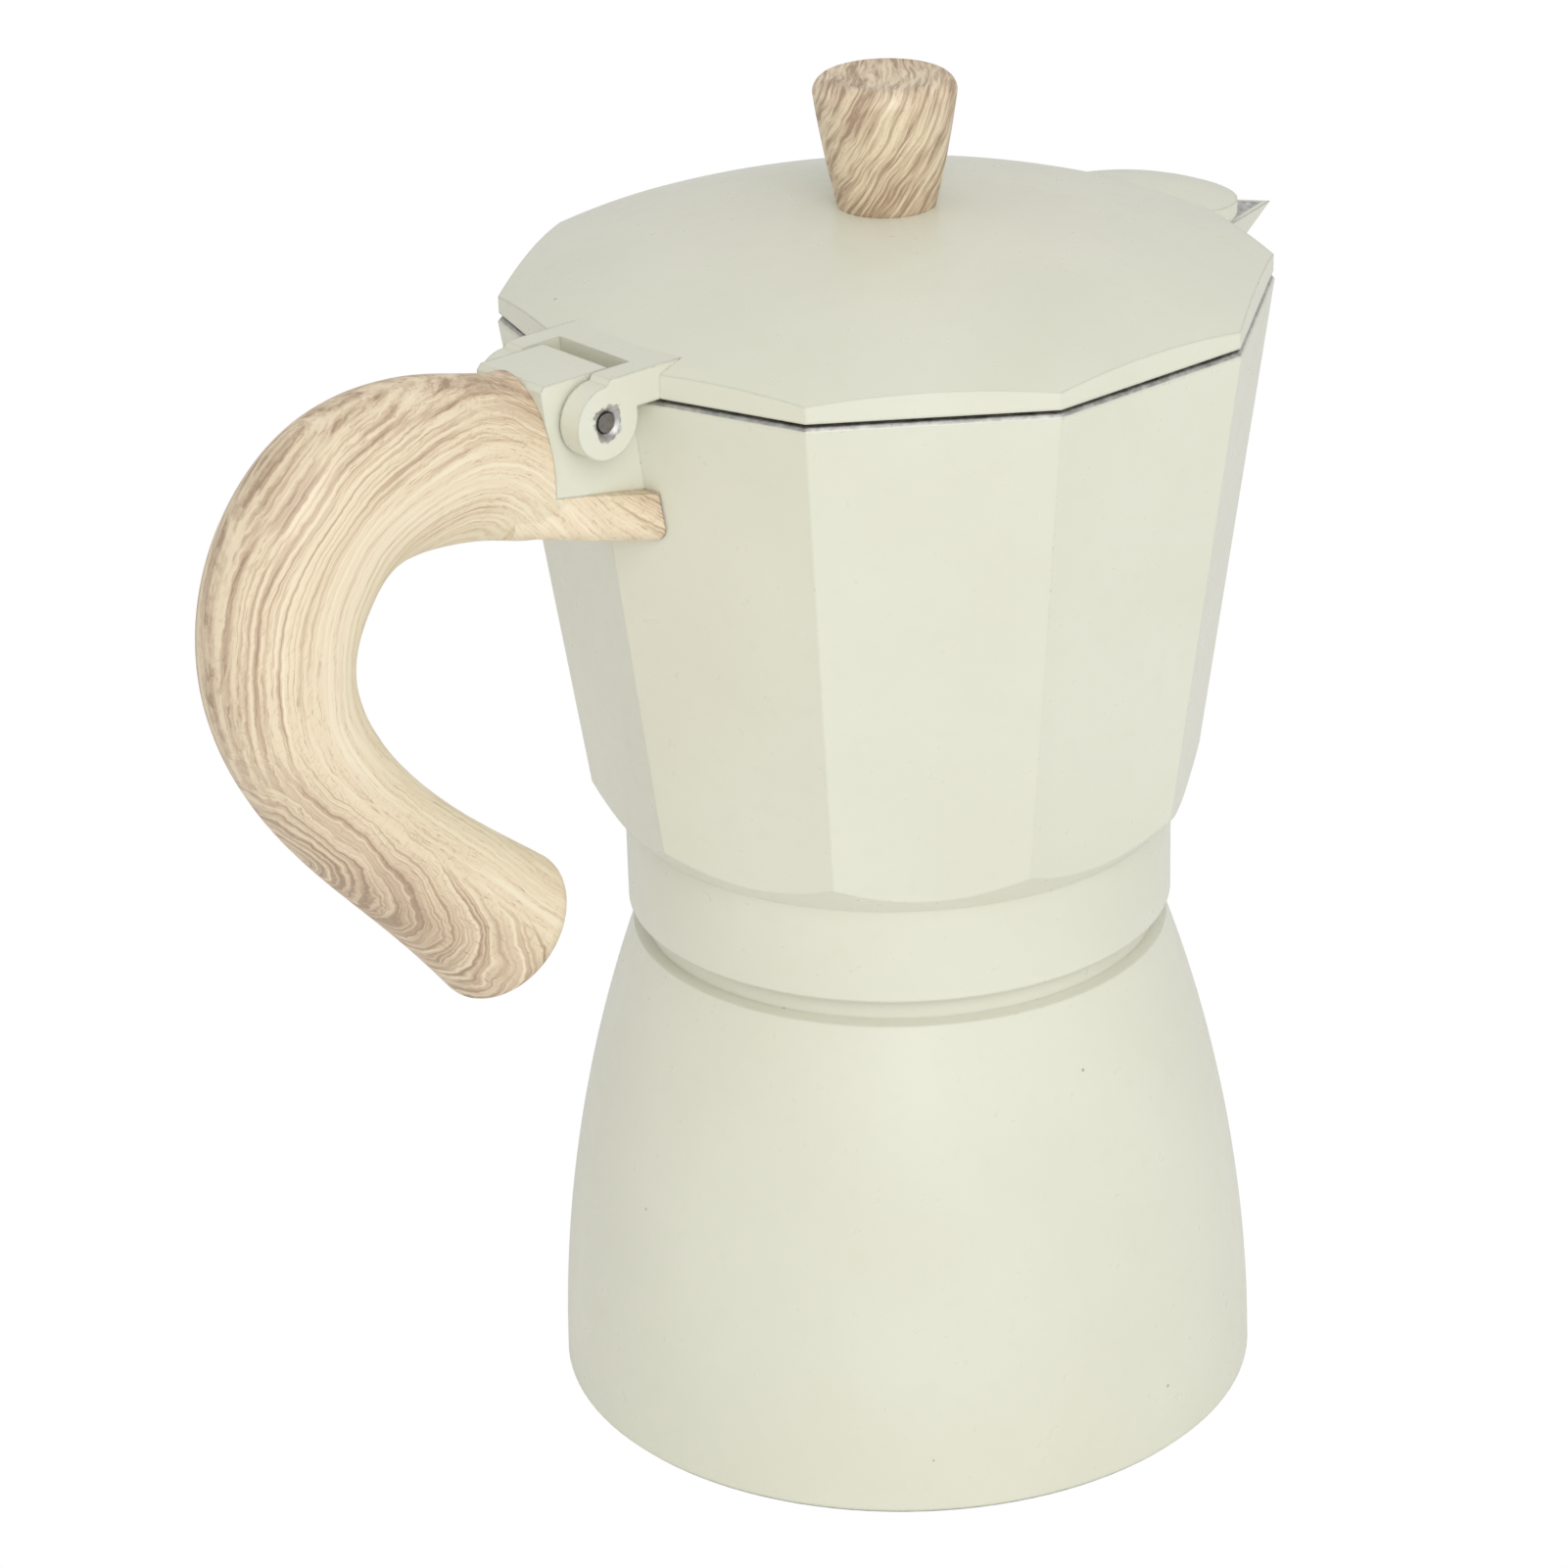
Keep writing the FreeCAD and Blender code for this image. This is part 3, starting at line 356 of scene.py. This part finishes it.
def handle_print():
    """Streaks that follow the bow of the handle, with nested arches low on its outer side."""
    make = Maker("handle_print")
    spot = make.spot
    across, deep, up = make.split(spot)
    slant = math.sqrt(0.5)
    back = make.calc("ADD", across, BOW_BACK)
    rise = make.calc("SUBTRACT", up, BOW_LEVEL)
    run = make.times(make.calc("SUBTRACT", back, rise), slant)
    off = make.times(make.calc("ADD", back, rise), slant)
    short = make.calc("MINIMUM", run, 0.0)
    bow = make.distance(short, off)

    wander = make.wander(spot, 0.035, 2, 0.5, 5)
    tremble = make.wander(spot, 0.5, 2, 0.5, 0.5)
    bow_wavy = make.calc("ADD", bow, make.calc("ADD", wander, tremble))
    streak_place = make.gather(
        make.times(bow_wavy, 1.7), make.times(deep, 0.4), make.times(run, 0.03)
    )
    streaks = make.noise(streak_place, 1.0, 5, 0.6, 0.1)

    # arches: stretched rings about a place low on the outer side
    ring_run = make.times(make.calc("SUBTRACT", run, 1), 0.33)
    ring_bow = make.calc("SUBTRACT", bow, 35)
    ring_deep = make.times(deep, 0.45)
    ring = make.gather(ring_run, ring_bow, ring_deep)
    ring_away = make.vector_calc("LENGTH", ring, output="Value")
    ring_wavy = make.calc("ADD", ring_away, make.times(make.noise(spot, 0.13, 3, 0.55), 2.4))
    ring_place = make.gather(make.times(ring_wavy, 2.0), 0.0, make.times(deep, 0.05))
    ring_lines = make.calc("ADD", make.noise(ring_place, 1.0, 3, 0.6), 0.04)
    arch_share = make.times(make.ramp(bow, 23, 28), make.ramp(run, -22, -6))
    lines_gap = make.calc("SUBTRACT", ring_lines, streaks)
    lines = make.calc("ADD", streaks, make.times(lines_gap, arch_share))

    # darker and busier outside, calm and pale inside the bow
    outer = make.times(make.calc("SUBTRACT", make.ramp(bow, 18, 34), 0.42), 0.16)
    patch = make.wander(spot, 0.045, 2, 0.5, 0.2)
    lines = make.calc("ADD", lines, make.calc("ADD", outer, patch))

    ladder_place = make.gather(bow_wavy, deep, make.times(run, 2.2))
    ladder = make.ramp(make.noise(ladder_place, 1.0, 3, 0.6), 0.52, 0.68)
    shade = make.times(ladder, make.ramp(lines, 0.35, 0.6))
    pore_place = make.gather(
        make.times(bow_wavy, 4.5), make.times(deep, 2.0), make.times(run, 0.5)
    )
    pores = make.ramp(make.noise(pore_place, 1.0, 2, 0.5), 0.6, 0.7)
    pores = make.times(pores, make.ramp(lines, 0.3, 0.55))
    rounded = make.soft_edge(0.4 * MM)[0]
    colour = wood_colours(make, lines, shade, pores)
    make.set(colour=colour, rough=make.span(lines, 0.3, 0.7, 0.4, 0.5))
    height = make.calc("SUBTRACT", make.times(ladder, -0.4), make.times(pores, 0.6))
    make.bump(height, 0.12, 0.1 * MM, rounded)
    return make.material


def knob_print():
    """Streaks that climb steeply round the knob."""
    make = Maker("knob_print")
    spot = make.spot
    across, deep, up = make.split(spot)
    lean = make.calc("ADD", make.calc("SUBTRACT", across, deep), make.times(up, -0.75))
    climb = make.calc("ADD", up, make.calc("MULTIPLY_ADD", across, 0.5, make.times(deep, -0.4)))
    wander = make.wander(spot, 0.09, 2, 0.5, 6)
    lean = make.calc("ADD", lean, wander)
    round_knob = make.times(make.calc("ADD", across, deep), 0.12)
    streak_place = make.gather(make.times(lean, 1.1), round_knob, make.times(climb, 0.08))
    streaks = make.noise(streak_place, 1.0, 5, 0.62, 0.2)
    patch = make.wander(spot, 0.09, 2, 0.5, 0.3)
    lines = make.calc("ADD", make.calc("ADD", streaks, 0.12), patch)
    pore_place = make.gather(make.times(lean, 3.2), make.times(climb, 0.4), make.times(deep, 0.4))
    pores = make.ramp(make.noise(pore_place, 1.0, 2, 0.5), 0.6, 0.7)
    pores = make.times(pores, make.ramp(lines, 0.3, 0.55))
    ladder_place = make.gather(lean, deep, make.times(climb, 1.8))
    ladder = make.ramp(make.noise(ladder_place, 1.0, 3, 0.6), 0.54, 0.7)
    shade = make.times(ladder, make.ramp(lines, 0.4, 0.6))
    rounded = make.soft_edge(0.4 * MM)[0]
    colour = wood_colours(make, lines, shade, pores)
    make.set(colour=colour, rough=make.span(lines, 0.3, 0.7, 0.4, 0.5))
    make.bump(make.times(pores, -1.0), 0.1, 0.1 * MM, rounded)
    return make.material


def metal_finish(name, colour, rough, stretch, scale, edge_highlight=0.5):
    """Metal with tool marks stretched along one or two ways, smudges, and brighter edges that are
    a painted highlight.
    """
    make = Maker(name)
    spot = make.spot
    rounded, edge = make.soft_edge(0.25 * MM)
    marks = make.noise(make.vector_calc("MULTIPLY", spot, stretch), scale, 4, 0.65)
    smudge = make.noise(spot, 0.08, 3, 0.6)
    dark = tone(*[value * 0.8 for value in colour])
    # lighter copy of the metal colour, used for the painted edge highlight
    highlight_tone = tone(*[min(255, value * 1.08) for value in colour])
    base = make.blend(make.ramp(marks, 0.25, 0.75), dark, tone(*colour))
    base = make.blend(make.times(make.ramp(smudge, 0.5, 0.7), 0.3), base, dark)
    # lighter metal along every sharp edge: a painted highlight
    base = make.blend(make.times(edge, edge_highlight), base, highlight_tone)
    spread = make.calc("ADD", make.times(marks, 0.14), make.times(smudge, 0.12))
    make.set(colour=base, rough=make.calc("ADD", spread, rough - 0.13), metal=1.0)
    make.bump(marks, 0.15, 0.05 * MM, rounded)
    return make.material


def soft_rubber():
    """Off-white silicone with a dusty bloom."""
    make = Maker("silicone")
    spot = make.spot
    dust = make.noise(spot, 0.4, 5, 0.65)
    flow = make.noise(spot, 0.05, 2, 0.5)
    base = make.blend(make.ramp(flow, 0.3, 0.7), SILICONE, SILICONE_PALE)
    base = make.blend(make.times(make.ramp(dust, 0.5, 0.75), 0.35), base, SILICONE_DUST)
    make.set(colour=base, rough=make.span(dust, 0.3, 0.7, 0.5, 0.65), sheen=0.2)
    make.bump(dust, 0.1, 0.08 * MM)
    return make.material


NO_STRETCH = (1, 1, 1)
TURNED = (0.25, 0.25, 6)
FINISHES = {
    "wood_print": handle_print(),
    "aluminium": metal_finish("aluminium", (205, 206, 207), 0.34, TURNED, 0.8),
    "screw_steel": metal_finish("screw_steel", (176, 176, 178), 0.3, NO_STRETCH, 1.2),
    "pin_steel": metal_finish("pin_steel", (142, 138, 134), 0.36, NO_STRETCH, 2.0, 0.8),
    "spring_steel": metal_finish("spring_steel", (176, 177, 181), 0.28, NO_STRETCH, 3.0),
    "brass": metal_finish("brass", (203, 172, 108), 0.28, TURNED, 1.0, 0.6),
    "silicone": soft_rubber(),
}
OWN_FINISHES = {
    "boiler": cream_paint("boiler_paint", boiler_bare),
    "collector": cream_paint("collector_paint", collector_bare),
    "lid": cream_paint("lid_paint", lid_bare),
    "knob": knob_print(),
}
SLOTS = {part["node"]: part["material_slot"] for part in frame["record"]["subparts"]}
for name, item in frame["nodes"].items():
    item.data.materials.clear()
    item.data.materials.append(OWN_FINISHES.get(name) or FINISHES[SLOTS[name]])


# ---------------------------------------------------------------- floor and light
# name, place, aim, width and power in watts
LAMPS = [
    ("key", (-0.55, -1.05, 1.0), (0, 0, 0.1), 0.9, 7.4),
    ("front", (-0.75, -0.95, 0.36), (0, 0, 0.08), 0.45, 0.8),
]
FLOOR_WIDTH = 12
ROOM_GLOW = 0.7


def add_floor():
    bpy.ops.mesh.primitive_plane_add(size=FLOOR_WIDTH)
    floor = bpy.context.object
    floor.name = "floor"
    make = Maker("floor")
    make.set(colour=FLOOR_WHITE, rough=0.8)
    glow = make.add("ShaderNodeEmission")
    paths = make.add("ShaderNodeLightPath").outputs
    mixer = make.add("ShaderNodeMixShader")
    output = next(node for node in make.tree.nodes if node.type == "OUTPUT_MATERIAL")
    make.feed(mixer.inputs[0], paths["Is Camera Ray"])
    make.feed(mixer.inputs[1], make.shader.outputs[0])
    make.feed(mixer.inputs[2], glow.outputs[0])
    make.feed(output.inputs[0], mixer.outputs[0])
    floor.data.materials.append(make.material)


def add_light(name, place, aim, size, power):
    data = bpy.data.lights.new(name, "AREA")
    data.energy = power
    data.size = size
    lamp = bpy.data.objects.new(name, data)
    lamp.location = place
    lamp.rotation_euler = (Vector(aim) - Vector(place)).to_track_quat("-Z", "Y").to_euler()
    bpy.context.scene.collection.objects.link(lamp)


def add_world():
    world = bpy.data.worlds.new("world")
    bpy.context.scene.world = world
    world.use_nodes = True
    tree = world.node_tree
    tree.nodes.clear()
    output = tree.nodes.new("ShaderNodeOutputWorld")
    paths = tree.nodes.new("ShaderNodeLightPath")
    soft = tree.nodes.new("ShaderNodeBackground")
    soft.inputs[1].default_value = ROOM_GLOW
    white = tree.nodes.new("ShaderNodeBackground")
    white.inputs[1].default_value = 1.0
    mixer = tree.nodes.new("ShaderNodeMixShader")
    tree.links.new(paths.outputs["Is Camera Ray"], mixer.inputs[0])
    tree.links.new(soft.outputs[0], mixer.inputs[1])
    tree.links.new(white.outputs[0], mixer.inputs[2])
    tree.links.new(mixer.outputs[0], output.inputs[0])
    soft.inputs[0].default_value = (1, 1, 1, 1)
    white.inputs[0].default_value = (1, 1, 1, 1)


add_camera()
add_floor()
add_world()
for lamp in LAMPS:
    add_light(*lamp)
bpy.context.scene.view_settings.view_transform = "Standard"
